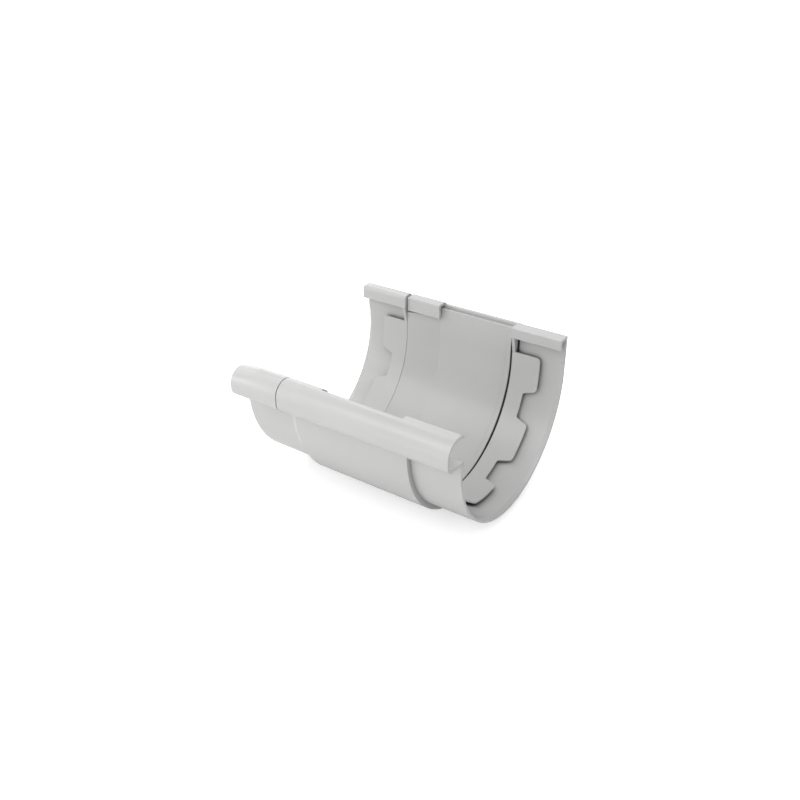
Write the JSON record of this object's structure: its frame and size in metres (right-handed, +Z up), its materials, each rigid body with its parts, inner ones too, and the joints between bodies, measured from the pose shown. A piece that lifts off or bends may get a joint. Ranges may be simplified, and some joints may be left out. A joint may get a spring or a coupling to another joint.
{
  "type": "gutter union",
  "caption": "Telescoping half-round gutter union: a sleeve half and a sliding half with rubber seals, a rolled front bead, rear lips and castellated rings that hold the gutters.",
  "frame": {"origin": "centre of the half-round section, midway between the two ends with the joint closed", "axes": "+X along the gutter towards the fixed socket half, +Y to the rear (fascia) side, +Z up"},
  "size_m": [0.144, 0.1406, 0.0913],
  "materials": {
    "grey_pvc": "satin moulded PVC",
    "black_rubber": "matt"
  },
  "bodies": {
    "sleeve": {"socket_half": "grey_pvc", "gutter_seal_right": "black_rubber"},
    "slider": {"sliding_half": "grey_pvc", "expansion_seal": "black_rubber", "gutter_seal_left": "black_rubber"}
  },
  "joints": [
    {"name": "expansion_slide", "type": "slide", "parent": "sleeve", "child": "slider", "axis": [-1, 0, 0], "range_m": [0, 0.025]}
  ]
}
